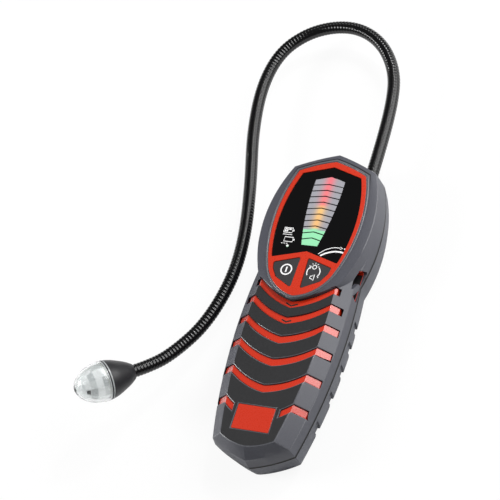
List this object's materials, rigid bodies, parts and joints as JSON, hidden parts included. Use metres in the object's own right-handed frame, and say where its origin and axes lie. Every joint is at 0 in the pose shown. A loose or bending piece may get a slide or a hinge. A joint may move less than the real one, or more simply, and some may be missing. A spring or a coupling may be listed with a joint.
{
  "type": "handheld gas leak detector",
  "caption": "Handheld gas leak detector: pointed clamshell body with ribbed grip, bar display and two keys, and a long bendable neck with a clear-domed sensor head.",
  "frame": {"origin": "middle of the flat back that the body lies on", "axes": "+Z out of the display, +Y along the body towards the end where the neck comes out, +X to the right of someone who reads the display"},
  "size_m": [0.1468, 0.3054, 0.0532],
  "materials": {
    "grey_shell": "dark grey moulded plastic with a fine grain",
    "dark_seal": "black gasket",
    "red_rubber": "orange-red satin moulded plastic",
    "black_window": "gloss black window",
    "light_guide": "milky light guide",
    "key_rubber": "grey silicone rubber",
    "board": "green circuit board",
    "steel": "plain steel",
    "lamp_package": "white lamp package",
    "black_part": "black moulded plastic",
    "battery": "gloss sleeve of a battery cell",
    "neck_rubber": "glossy black ribbed sleeve",
    "probe_plastic": "dark grey matte plastic",
    "clear_plastic": "clear moulded plastic",
    "white_reflector": "white reflector"
  },
  "bodies": {
    "housing": {"front_cover": "grey_shell", "rear_cover": "grey_shell", "parting_seal": "dark_seal", "grip_inlay": "red_rubber", "strap_liner": "red_rubber", "display_frame": "red_rubber", "display_lens": "black_window", "bar_light_guide": "light_guide", "power_dome": "key_rubber", "mode_dome": "key_rubber", "badge_plate": "red_rubber", "main_board": "board", "board_screws": "steel", "bar_led_01": "lamp_package", "bar_led_02": "lamp_package", "bar_led_03": "lamp_package", "bar_led_04": "lamp_package", "bar_led_05": "lamp_package", "bar_led_06": "lamp_package", "bar_led_07": "lamp_package", "bar_led_08": "lamp_package", "bar_led_09": "lamp_package", "bar_led_10": "lamp_package", "bar_led_11": "lamp_package", "indicator_led": "lamp_package", "buzzer": "black_part", "control_chip": "black_part", "battery_1": "battery", "battery_2": "battery", "battery_3": "battery", "battery_spring_1": "steel", "battery_spring_2": "steel", "battery_spring_3": "steel", "contact_plate_low": "steel", "contact_plate_high": "steel", "battery_door": "grey_shell", "housing_screws": "steel", "door_screw": "steel", "neck_ferrule": "black_part", "neck_base": "neck_rubber", "neck_flex_root": "neck_rubber"},
    "power_key": {"power_key": "grey_shell"},
    "mode_key": {"mode_key": "grey_shell"},
    "neck_lower": {"neck_lower": "neck_rubber", "neck_flex_crown": "neck_rubber"},
    "neck_upper": {"neck_upper": "neck_rubber", "neck_flex_tip": "neck_rubber"},
    "probe": {"neck_end": "neck_rubber", "probe_body": "probe_plastic", "probe_ring": "clear_plastic", "probe_dome": "clear_plastic", "sensor_board": "board", "probe_reflector": "white_reflector", "probe_lamps": "lamp_package", "gas_sensor": "steel"}
  },
  "joints": [
    {"name": "power_key_press", "type": "slide", "parent": "housing", "child": "power_key", "axis": [0, 0, -1], "range_m": [0, 0.0008], "stiffness_N_per_m": 2500, "springref_m": -0.0004, "deforming": ["power_dome"]},
    {"name": "mode_key_press", "type": "slide", "parent": "housing", "child": "mode_key", "axis": [0, 0, -1], "range_m": [0, 0.0008], "stiffness_N_per_m": 2500, "springref_m": -0.0004, "deforming": ["mode_dome"]},
    {"name": "neck_root_bend", "type": "hinge", "parent": "housing", "child": "neck_lower", "pos_m": [0.01635, 0.118, 0.01579], "axis": [1, 0, 0], "range_deg": [-30, 30], "deforming": ["neck_flex_root"]},
    {"name": "neck_crown_bend", "type": "hinge", "parent": "neck_lower", "child": "neck_upper", "pos_m": [-0.0338, 0.20139, 0.018], "axis": [0, 0, 1], "range_deg": [-35, 3], "deforming": ["neck_flex_crown"]},
    {"name": "neck_tip_bend", "type": "hinge", "parent": "neck_upper", "child": "probe", "pos_m": [-0.05963, -0.01824, 0.01665], "axis": [-0.9208, 0.39, 0], "range_deg": [-30, 45], "deforming": ["neck_flex_tip"]}
  ]
}
